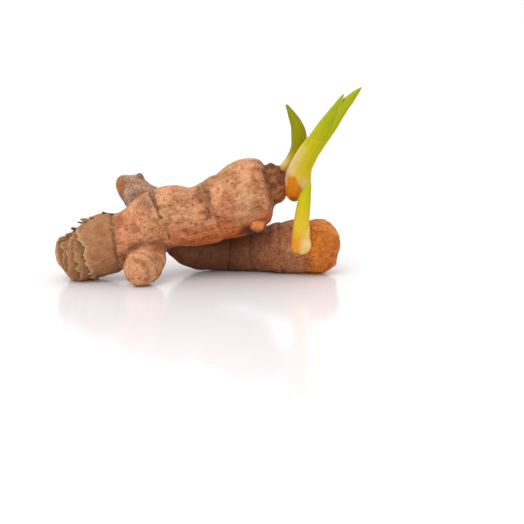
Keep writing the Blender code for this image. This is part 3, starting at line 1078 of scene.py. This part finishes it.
@dataclass(frozen=True)
class TallShoot(Shoot):
    """The tall shoot: a fat sheath with a torn foot, an open outer leaf and the next leaf inside it."""

    node: str = "tall_shoot"
    finish: YoungLeaf = YoungLeaf()
    leaves: tuple = (
        RolledLeaf(
            "tall_shoot_sheath",
            stations=(
                (32.1, 1.0, 28.9, 0.9), (32.3, 1.0, 30.0, 2.7), (32.8, 1.0, 32.3, 4.2),
                (33.4, 1.0, 35.0, 4.8), (33.9, 0.9, 37.3, 4.9), (34.3, 0.7, 39.6, 4.65),
                (35.2, 0.4, 42.6, 4.2), (37.3, 0.1, 46.6, 3.95), (39.9, -0.2, 50.8, 3.6),
                (41.6, -0.4, 53.4, 3.3),
            ),
            wrap=((0.0, 395.0), (1.0, 385.0)), seam=(90.0, 90.0), rise=(0.2, 0.62), margin=0.25, slant=1.2,
            marks=(
                ("cream", 29.4, -1.2, 37.5, 5.0, 1.0),
                ("cream", 29.9, -1.4, 40.4, 5.0, 1.0),
                ("cream", 30.8, -1.6, 43.2, 5.0, 0.95),
                ("cream", 32.2, -2.0, 46.0, 5.0, 0.85),
                ("cream", 34.0, -2.4, 48.8, 4.6, 0.6),
                ("cream", 35.6, -3.8, 34.6, 6.2, 0.8),
                ("flesh", 31.5, -3.2, 36.3, 3.0, 1.0),
                ("flesh", 31.9, -3.0, 33.0, 4.2, 1.0),
                ("flesh", 33.6, -1.6, 30.6, 4.0, 1.0),
                ("scorch", 30.1, -2.6, 38.7, 1.8, 1.0),
                ("scorch", 31.9, -1.8, 29.2, 2.8, 1.0),
            ),
        ),
        RolledLeaf(
            "tall_shoot_outer_leaf",
            stations=(
                (35.4, 0.4, 42.6, 3.0), (37.6, 0.0, 47.0, 3.2), (40.6, -0.4, 52.1, 3.05),
                (43.1, -0.5, 55.8, 2.95), (45.4, -0.6, 59.6, 2.54), (47.1, -0.7, 62.2, 2.2),
                (48.5, -0.8, 64.3, 1.85), (49.9, -0.9, 66.9, 1.35), (50.8, -0.9, 69.0, 0.6),
            ),
            wrap=((0.0, 380.0), (0.4, 320.0), (0.7, 240.0), (1.0, 170.0)), seam=(20.0, 10.0),
            rise=(0.42, 0.98), margin=0.75,
        ),
        RolledLeaf(
            "tall_shoot_inner_leaf",
            stations=(
                (36.4, 0.9, 42.6, 2.2), (38.4, 0.8, 46.0, 2.4), (41.0, 0.2, 50.3, 2.65),
                (44.1, -0.1, 55.3, 2.8), (46.4, -0.2, 58.6, 2.7), (49.5, -0.4, 63.2, 2.3),
                (53.0, -0.4, 67.4, 1.65), (55.6, -0.3, 70.0, 0.9), (57.2, -0.3, 71.6, 0.25),
            ),
            wrap=((0.0, 380.0), (0.5, 340.0), (0.8, 240.0), (1.0, 170.0)), seam=(90.0, 90.0),
            rise=(0.42, 0.95),
        ),
    )


SHORT_SHOOT_MARKS = (
    ("cream", 28.6, 4.0, 42.6, 5.0, 0.7),
    ("flesh", 27.6, 3.6, 39.0, 3.4, 0.6),
    ("scorch", 27.2, 3.8, 38.6, 4.4, 0.45),
)


@dataclass(frozen=True)
class ShortShoot(Shoot):
    """The short curved shoot: one leaf rolled nearly shut, with the tip of another on its right."""

    node: str = "short_shoot"
    finish: YoungLeaf = YoungLeaf(
        name="young_turmeric_leaf_olive",
        rise=("#e2a050", "#d3a43a", "#baa61c", "#978c06", "#918c04", "#878a0c"),
    )
    leaves: tuple = (
        RolledLeaf(
            "short_shoot_inner_leaf",
            stations=(
                (27.0, 4.9, 38.4, 1.5), (28.5, 5.6, 40.6, 1.7), (30.9, 6.5, 43.5, 1.7),
                (33.2, 7.5, 47.5, 2.1), (34.2, 8.4, 51.2, 2.7), (34.1, 9.0, 54.5, 2.7),
                (33.3, 9.5, 57.2, 2.3), (32.1, 9.8, 59.7, 1.7), (30.7, 10.1, 62.4, 0.95),
                (29.5, 10.2, 64.3, 0.35),
            ),
            wrap=((0.0, 390.0), (0.6, 375.0), (1.0, 300.0)), seam=(70.0, 70.0), rise=(0.15, 1.12),
            margin=0.2,
            marks=SHORT_SHOOT_MARKS,
        ),
        RolledLeaf(
            "short_shoot_outer_leaf",
            stations=(
                (28.0, 5.3, 39.8, 1.7), (30.9, 6.5, 43.5, 1.8), (33.2, 7.5, 47.5, 2.2),
                (34.4, 8.4, 51.2, 2.8), (34.5, 9.0, 54.0, 2.7), (34.3, 9.3, 56.0, 2.1),
                (34.0, 9.5, 57.6, 1.4), (33.7, 9.6, 58.8, 0.5),
            ),
            wrap=((0.0, 380.0), (0.5, 300.0), (1.0, 150.0)), seam=(170.0, 150.0), rise=(0.2, 0.95),
            margin=0.25,
            marks=SHORT_SHOOT_MARKS,
        ),
    )


@dataclass(frozen=True)
class LowerShoot(Shoot):
    """The lower shoot: a pale sheath round its foot, and the first green leaf standing out of it."""

    node: str = "lower_shoot"
    finish: YoungLeaf = YoungLeaf(
        name="young_turmeric_leaf_pale",
        rise=("#f59a3c", "#f2b03e", "#e6bf34", "#cfbd1e", "#afb118", "#98a61a"),
        cream="#fadda4",
        flesh="#f08c22",
    )
    leaves: tuple = (
        RolledLeaf(
            "lower_shoot_sheath",
            stations=(
                (35.5, 2.4, 10.6, 2.9), (35.3, -1.2, 10.9, 3.6), (35.1, -4.1, 12.9, 3.75),
                (34.9, -5.1, 16.6, 3.35), (35.0, -5.8, 19.6, 3.15), (35.2, -6.2, 22.4, 2.95),
            ),
            wrap=((0.0, 390.0), (0.6, 385.0), (1.0, 370.0)), seam=(40.0, 60.0), rise=(0.02, 0.4),
            margin=0.06, slant=-1.0,
            marks=(
                ("flesh", 32.8, -7.0, 14.5, 5.0, 0.7),
                ("cream", 38.0, -7.6, 13.5, 5.2, 1.0),
                ("cream", 38.6, -7.6, 17.5, 4.0, 0.6),
                ("cream", 36.9, -7.0, 10.0, 4.5, 0.9),
            ),
        ),
        RolledLeaf(
            "lower_shoot_leaf",
            stations=(
                (35.2, -4.0, 13.0, 3.0), (35.0, -5.1, 16.6, 3.0), (35.0, -5.9, 20.1, 2.95),
                (35.5, -6.6, 25.9, 2.7), (36.2, -7.1, 30.9, 2.25), (37.1, -7.4, 34.3, 1.5),
                (38.2, -7.6, 37.4, 0.4),
            ),
            wrap=((0.0, 385.0), (0.6, 370.0), (1.0, 250.0)), seam=(60.0, 60.0), rise=(0.1, 0.8),
            margin=0.25,
        ),
    )


@dataclass(frozen=True)
class DryScale(Finish):
    """Dry scale leaf, sun-dried on the root: thin, fibrous, matt.

    It gives the eye a tan sheet with fine lengthwise fibres and a pale torn edge.
    """

    name: str = "dry_scale_leaf"
    surface: tuple = (("Roughness", 0.75), ("Specular IOR Level", 0.12))
    bump: float = 0.5
    bump_mm: float = 0.12
    dark: str = "#8f5c3a"
    light: str = "#b3815d"
    olive: str = "#977a38"
    edge: str = "#cdaa80"
    # dark scale, and painted shadow where a leaf comes out from under the one over it
    dark_and_shadow: str = "#45371f"
    fibre_mm: float = 0.35
    fibre_length_mm: float = 7.0
    blot_mm: float = 2.6

    def pattern(self, tree: bpy.types.NodeTree) -> tuple[dict, bpy.types.NodeSocket]:
        """Draws the leaf's fibres along the finger, and its blots, torn edge, dark parts and painted shadows.

        Args:
            tree: The material's node tree.

        Returns:
            The outputs that feed the surface, by input name, and the height of the bump.
        """
        place = add_node(tree, "TexCoord").outputs["Object"]
        grain = add_node(tree, "Attribute", {"attribute_name": "grain"}).outputs["Vector"]
        torn = add_node(tree, "Attribute", {"attribute_name": "torn"}).outputs["Fac"]
        dark_and_shadow = add_node(tree, "Attribute", {"attribute_name": "dark_and_shadow"}).outputs["Fac"]
        scale = (1 / self.fibre_mm, 1 / self.fibre_mm, 1 / self.fibre_length_mm)
        stretched = add_node(tree, "Mapping", {"Scale": scale}, {"Vector": grain}).outputs[0]
        fine = {"Scale": 1.0, "Detail": 3.0}
        fibres = add_node(tree, "TexNoise", fine, {"Vector": stretched}).outputs["Fac"]
        spread = {"Scale": 1 / (self.blot_mm * MM), "Detail": 4.0}
        blots = add_node(tree, "TexNoise", spread, {"Vector": place}).outputs["Fac"]
        both = add_node(tree, "Math", {"operation": "ADD"}, {0: fibres, 1: blots}).outputs[0]
        shares = []
        ranges = ((both, 0.7, 1.3, 1.0), (blots, 0.5, 0.7, 0.45), (torn, 0.85, 1.0, 0.6))
        for source, low, high, most in ranges:
            limits = {1: low, 2: high, 4: most, "clamp": True}
            shares.append(add_node(tree, "MapRange", limits, {0: source}).outputs[0])
        below = {}
        for hex_colour, share in zip((self.light, self.olive, self.edge, self.dark_and_shadow), (*shares, dark_and_shadow)):
            colours = {"data_type": "RGBA", 6: linear(self.dark), 7: linear(hex_colour)}
            colour = add_node(tree, "Mix", colours, {0: share, **below}).outputs[2]
            below = {6: colour}
        return {"Base Color": colour}, both


@dataclass(frozen=True)
class Sheath:
    """One dry scale leaf that wraps the old end.

    Attributes:
        base_mm: Where it grows from, along the body.
        edge_mm: The mean place of its torn edge.
        ragged_mm: How far the tears reach.
        flare_mm: How far the torn edge stands off the skin.
    """

    base_mm: float
    edge_mm: float
    ragged_mm: float
    flare_mm: float


@dataclass
class OldEnd:
    """The dry scale leaves of the old end, one inside the other, and the scraps and crumbs of them."""

    sheaths: tuple = (
        Sheath(23.3, 11.0, 1.6, 0.5),
        Sheath(12.6, 8.2, 2.0, 0.7),
        Sheath(10.4, 5.6, 1.8, 0.8),
        Sheath(7.4, 3.3, 1.6, 0.7),
        Sheath(4.6, 1.6, 1.0, 0.5),
    )
    columns: int = 150
    row_mm: float = 0.55
    # The sheaths' tears: their share and their size round the body in millimetres.
    tears: tuple = ((1.0, 4.0), (0.6, 1.1), (0.25, 0.4))
    # The radius where the skin isn't met, at the very end.
    end_mm: float = 8.0
    shade_mm: float = 1.5
    thick_mm: float = 0.14
    over_floor_mm: float = 0.1
    seed: int = 7
    # Scraps: place along the body, how many, and their mean length in millimetres.
    scraps: tuple = ((3.2, 6, 1.5), (6.4, 7, 1.7), (10.2, 8, 1.7))
    scrap_reach_mm: float = 0.7
    # Crumbs of old scale: x, y, z, length, and how dark they are, from 0 to 1.
    crumbs: tuple = (
        (-38.3, -4.2, 24.6, 1.5, 1.0), (-35.4, -3.6, 24.0, 1.2, 1.0), (-37.0, 2.0, 24.4, 1.3, 0.8),
        (-44.4, -6.0, 22.3, 2.6, 0.25), (-41.9, -6.0, 22.8, 1.5, 0.6), (-48.6, -7.0, 19.2, 2.2, 0.9),
        (-50.6, -8.0, 17.4, 2.0, 0.5), (-47.0, 0.0, 20.6, 2.2, 0.5), (-52.6, -8.0, 15.4, 2.2, 0.3),
        (-53.4, -8.6, 14.0, 1.4, 0.7), (-49.6, 3.0, 18.6, 2.0, 0.9), (-53.6, 2.0, 14.6, 2.2, 0.4),
        (-45.2, 8.0, 18.4, 1.8, 0.7), (-51.8, 7.4, 13.4, 2.0, 0.3),
    )

    def build(self, skin: bpy.types.Object) -> None:
        """Wraps the sheaths round the skin, stands the scraps on it and sets the crumbs.

        Args:
            skin: The finished rhizome, whose surface they follow.
        """
        material = DryScale().material()
        surface = BVHTree.FromObject(skin, bpy.context.evaluated_depsgraph_get())
        bm = bmesh.new()
        torn = bm.verts.layers.float.new("torn")
        grain = bm.verts.layers.float_vector.new("grain")
        dark_and_shadow = bm.verts.layers.float.new("dark_and_shadow")
        shade_from = self.sheaths[0].base_mm
        for sheath in self.sheaths:
            self.wrap(bm, surface, sheath, shade_from, (torn, grain, dark_and_shadow))
            shade_from = sheath.edge_mm
        bmesh.ops.remove_doubles(bm, verts=bm.verts, dist=0.002 * MM)
        self.finish(bm, "dry_scale_sheaths", material, self.thick_mm)

        draw = random.Random(self.seed)
        points = read_rows(skin.data.vertices, "co") / MM
        normals = read_rows(skin.data.vertex_normals, "vector")
        place = place_on_fingers(points)
        on_top = place.on(BODY_FINGER) & (normals[:, 2] > 0.1)
        bm = bmesh.new()
        bm.verts.layers.float.new("torn")
        for ring_place, count, length in self.scraps:
            near = np.flatnonzero(on_top & (np.abs(place.along - ring_place) < self.scrap_reach_mm))
            for _ in range(count):
                spot = near[draw.randrange(len(near))]
                self.add_scrap(bm, draw, Vector(points[spot]), Vector(normals[spot]), length)
        self.finish(bm, "scale_leaf_scraps", material, self.thick_mm)
        self.finish(self.crumb_shapes(surface), "scale_leaf_crumbs", material)

    def finish(
        self, bm: bmesh.types.BMesh, name: str, material: bpy.types.Material, thick_mm: float = 0.0
    ) -> None:
        """Makes a finished piece that hangs nowhere below the floor.

        Args:
            bm: The shape, which is freed.
            name: The piece's name.
            material: Its finish.
            thick_mm: The thickness that its sheets get, or 0 where it is solid.
        """
        for vertex in bm.verts:
            vertex.co.z = max(vertex.co.z, self.over_floor_mm * MM)
        piece = make_piece(bm, name)
        if thick_mm:
            thicken(piece, thick_mm)
        dress(piece, material)

    def wrap(
        self, bm: bmesh.types.BMesh, surface: BVHTree, sheath: Sheath, shade_from: float, layers: tuple
    ) -> None:
        """Wraps one sheath round the body.

        Args:
            bm: The bmesh that holds them all.
            surface: The skin that it follows.
            sheath: Its places along the body.
            shade_from: Where the leaf over it ends, along the body: a painted shadow darkens it just beyond.
            layers: The layers that keep how near each point is to the torn edge, its place across and along
            the body, and its painted shadow.
        """
        torn, grain, dark_and_shadow = layers
        line, along, tangents = trace(BODY_FINGER.stations)
        rows = max(7, int((sheath.base_mm - sheath.edge_mm) / self.row_mm))
        made = bmesh.ops.create_grid(bm, x_segments=self.columns, y_segments=rows, size=0.5)
        for vertex in made["verts"]:
            turn = 2 * math.pi * (vertex.co.x + 0.5)
            share = vertex.co.y + 0.5
            ring = Vector((math.cos(turn), math.sin(turn), sheath.edge_mm)) * 10
            tear = sum(amount * noise.noise(ring / size) for amount, size in self.tears)
            reach = sheath.base_mm + (sheath.edge_mm + sheath.ragged_mm * tear - sheath.base_mm) * share
            centre = read_along(line, along, reach)[:3]
            tangent = read_along(tangents, along, reach)
            first = unit(np.cross(tangent, (0.0, 0.0, 1.0)))
            outward = first * math.cos(turn) + np.cross(first, tangent) * math.sin(turn)
            hit, _, _, distance = surface.ray_cast(Vector(centre) * MM, Vector(outward))
            radius = distance / MM if hit else self.end_mm
            flare = 0.7 + 1.1 * noise.noise(ring / 2.2 + Vector((5.0, 0.0, 0.0)))
            lift = 0.18 * min(1.0, share / 0.15) - 0.1 + sheath.flare_mm * share**2 * flare
            vertex.co = Vector(centre + outward * (radius + lift)) * MM
            vertex[torn] = share
            # Painted shadow just beyond the edge of the leaf over it.
            vertex[dark_and_shadow] = 0.55 * max(0.0, 1 - max(0.0, shade_from - reach) / self.shade_mm)
            vertex[grain] = Vector((radius * math.cos(turn), radius * math.sin(turn), reach))

    def add_scrap(
        self, bm: bmesh.types.BMesh, draw: random.Random, root: Vector, normal: Vector, length: float
    ) -> None:
        """Adds one torn scrap that leans back over the old end.

        Args:
            bm: The bmesh that holds them all.
            draw: The seeded source of its variations.
            root: Where it grows from, in millimetres.
            normal: The skin's normal there.
            length: Its mean length in millimetres.
        """
        lean = Vector((-1.0, draw.uniform(-0.5, 0.3), 0.0)).normalized()
        reach = length * draw.uniform(0.6, 1.3)
        width = length * draw.uniform(0.5, 1.1)
        lift = draw.uniform(0.15, 0.8)
        curl = draw.uniform(-0.3, 0.6)
        twist = draw.uniform(-0.6, 0.6)
        jag = draw.uniform(0.0, 40.0)
        across = normal.cross(lean).normalized()
        grid = bmesh.ops.create_grid(bm, x_segments=5, y_segments=5, size=0.5)
        torn = bm.verts.layers.float["torn"]
        for vertex in grid["verts"]:
            share = vertex.co.y + 0.5
            side = vertex.co.x * 2
            out = share * (1 + 0.6 * noise.noise(Vector((side * 2.5, jag, 0.0))))
            sunk = -0.3
            climb = reach * 0.6 * (lift * out + curl * out**2) + sunk + 0.2 * (1 - side * side) * share
            place = root + normal * climb + (lean + across * twist * out) * reach * out * 0.8
            place += across * side * (1 - 0.5 * share**2) * width / 2
            vertex.co = place * MM
            vertex[torn] = 0.6 * share

    def crumb_shapes(self, surface: BVHTree) -> bmesh.types.BMesh:
        """Shapes the crumbs of old scale on the skin.

        Args:
            surface: The skin that they sit on.

        Returns:
            The crumbs, with how pale their torn edges are and how dark each is.
        """
        bm = bmesh.new()
        torn = bm.verts.layers.float.new("torn")
        dark_and_shadow = bm.verts.layers.float.new("dark_and_shadow")
        lean = Vector((-1.0, 0.0, 0.0))
        for turn, (x, y, z, length, dark) in enumerate(self.crumbs):
            middle, normal, _, _ = surface.find_nearest(Vector((x, y, z)) * MM)
            across = normal.cross(lean).normalized()
            made = bmesh.ops.create_icosphere(bm, subdivisions=2, radius=0.5)
            for vertex in made["verts"]:
                ball = vertex.co * (1 + 0.5 * noise.noise(vertex.co * 3.0 + Vector((turn * 7.0, 0.0, 0.0))))
                place = lean * (ball.x + 0.3) * 1.3 + across * ball.y
                place += normal * (ball.z * 0.45 + (0.5 + ball.x) * 0.35)
                vertex.co = middle + place * length * MM
                vertex[dark_and_shadow] = dark
                vertex[torn] = 0.8 * (0.5 - ball.x)
        return bm


@dataclass
class BrokenBud:
    """The squarish stump of a bud that broke off under the thick end, with its orange flesh bare."""

    middle_mm: tuple = (18.7, -6.9, 20.9)
    size_mm: tuple = (5.3, 3.8, 4.5)
    turn: float = 12.0
    cuts: int = 9
    roundness: float = 0.3
    # Its dents: how deep and how close together they are, for its size.
    dents: tuple = ((0.2, 3.1), (0.08, 9.0))
    grain_mm: float = 3.0

    def build(self, material: bpy.types.Material) -> None:
        """Shapes the stump from a rounded, dented cube, colours and dresses it.

        Args:
            material: The rhizome's finish.
        """
        bm = bmesh.new()
        bmesh.ops.create_cube(bm, size=1.0)
        bmesh.ops.subdivide_edges(bm, edges=bm.edges, cuts=self.cuts, use_grid_fill=True)
        cube = np.array([vertex.co for vertex in bm.verts])
        for vertex in bm.verts:
            corner = vertex.co.copy()
            dent = sum(depth * noise.noise(corner * count) for depth, count in self.dents)
            vertex.co = corner.lerp(corner.normalized() * 0.5, self.roundness) * (1 + dent)
        bmesh.ops.scale(bm, verts=bm.verts, vec=Vector(self.size_mm) * MM)
        turn = Matrix.Rotation(math.radians(self.turn), 3, "Y")
        bmesh.ops.rotate(bm, verts=bm.verts, cent=Vector((0.0, 0.0, 0.0)), matrix=turn)
        bmesh.ops.translate(bm, verts=bm.verts, vec=Vector(self.middle_mm) * MM)
        stump = make_piece(bm, "broken_bud")
        rim = smooth_step(np.sort(np.abs(cube), axis=1)[:, 1], 0.36, 0.5)
        # low marks the stump's underside, which is darkened with a painted shadow.
        low = smooth_step(-cube[:, 2], 0.1, 0.45)
        uneven = np.clip(0.8 + 0.9 * soft_noise(cube * 10, 2.0), 0.0, 1.0)
        none = np.zeros(len(cube))
        masks = {
            "flesh": 0.95 * (1 - 0.8 * rim) * (1 - low) * uneven,
            "crown": none + 0.6,
            # Its brown rim, and painted shadow on its underside.
            "dark": 0.4 * rim + 0.5 * low,
            # Painted glints all over the stump.
            "glinting": none + 0.8,
        }
        for group, channels in MASKS.items():
            keep(stump.data, group, tuple(masks.get(name, none) for name in channels))
        keep(stump.data, "grain", tuple(cube.T * self.grain_mm))
        dress(stump, material)


@dataclass(frozen=True)
class WhiteAcrylic:
    """A white acrylic table, polished: plain white with a faint mirror of what lies on it."""

    name: str = "white_acrylic"
    colour: str = "#e9e6e9"
    roughness: float = 0.16
    specular: float = 0.3

    def material(self) -> bpy.types.Material:
        """Builds the material.

        Returns:
            The new material.
        """
        material = bpy.data.materials.new(self.name)
        material.use_nodes = True
        inputs = material.node_tree.nodes["Principled BSDF"].inputs
        inputs["Base Color"].default_value = linear(self.colour)
        inputs["Roughness"].default_value = self.roughness
        inputs["Specular IOR Level"].default_value = self.specular
        return material


@dataclass
class Studio:
    """A pale floor, wide soft lights and the camera at the photograph's angle."""

    target_mm: tuple = (20.4, -1.6, 5.8)
    distance_mm: float = 470.0
    elevation: float = 12.0
    mm_per_px: float = 0.38
    image_px: int = 524
    sensor_mm: float = 36.0
    floor_mm: float = 60000.0
    world: float = 1.0
    # Lights: name, the way each comes from, its angle across in degrees, and its strength.
    lights: tuple = (
        ("key", (-0.45, -0.75, 1.25), 40.0, 1.1),
        ("back", (0.1, 0.9, 0.9), 60.0, 0.3),
    )

    def add_floor(self) -> None:
        """Lays the floor under the root."""
        bm = bmesh.new()
        bmesh.ops.create_grid(bm, x_segments=1, y_segments=1, size=self.floor_mm * MM / 2)
        floor = make_piece(bm, "floor")
        floor.data.materials.append(WhiteAcrylic().material())

    def add_camera(self) -> None:
        """Sets the camera at the photograph's angle and scale."""
        data = bpy.data.cameras.new("camera")
        data.sensor_width = self.sensor_mm
        data.lens = self.distance_mm * self.sensor_mm / (self.mm_per_px * self.image_px)
        camera = bpy.data.objects.new("camera", data)
        bpy.context.scene.collection.objects.link(camera)
        angle = math.radians(self.elevation)
        forward = Vector((0.0, math.cos(angle), -math.sin(angle)))
        camera.location = (Vector(self.target_mm) - forward * self.distance_mm) * MM
        camera.rotation_euler = forward.to_track_quat("-Z", "Y").to_euler()
        bpy.context.scene.camera = camera

    def add_lights(self) -> None:
        """Sets the wide soft lights and the plain world."""
        for name, place, angle, strength in self.lights:
            data = bpy.data.lights.new(name, "SUN")
            data.angle = math.radians(angle)
            data.energy = strength
            light = bpy.data.objects.new(name, data)
            bpy.context.scene.collection.objects.link(light)
            light.rotation_euler = (-Vector(place)).to_track_quat("-Z", "Y").to_euler()
        world = bpy.data.worlds.new("studio")
        world.use_nodes = True
        background = world.node_tree.nodes["Background"]
        background.inputs["Color"].default_value = (1.0, 1.0, 1.0, 1.0)
        background.inputs["Strength"].default_value = self.world
        bpy.context.scene.world = world
        bpy.context.scene.view_settings.view_transform = "Standard"

    def build(self) -> None:
        """Builds the studio."""
        self.add_floor()
        self.add_camera()
        self.add_lights()


def main() -> None:
    """Builds the root's looks and its studio."""
    logging.basicConfig(level=logging.INFO, format="%(name)s: %(message)s")
    Studio().build()
    skin = Rhizome().build()
    BrokenBud().build(skin.data.materials[0])
    OldEnd().build(skin)
    for shoot in (TallShoot(), ShortShoot(), LowerShoot()):
        shoot.build()


if __name__ == "__main__":
    main()
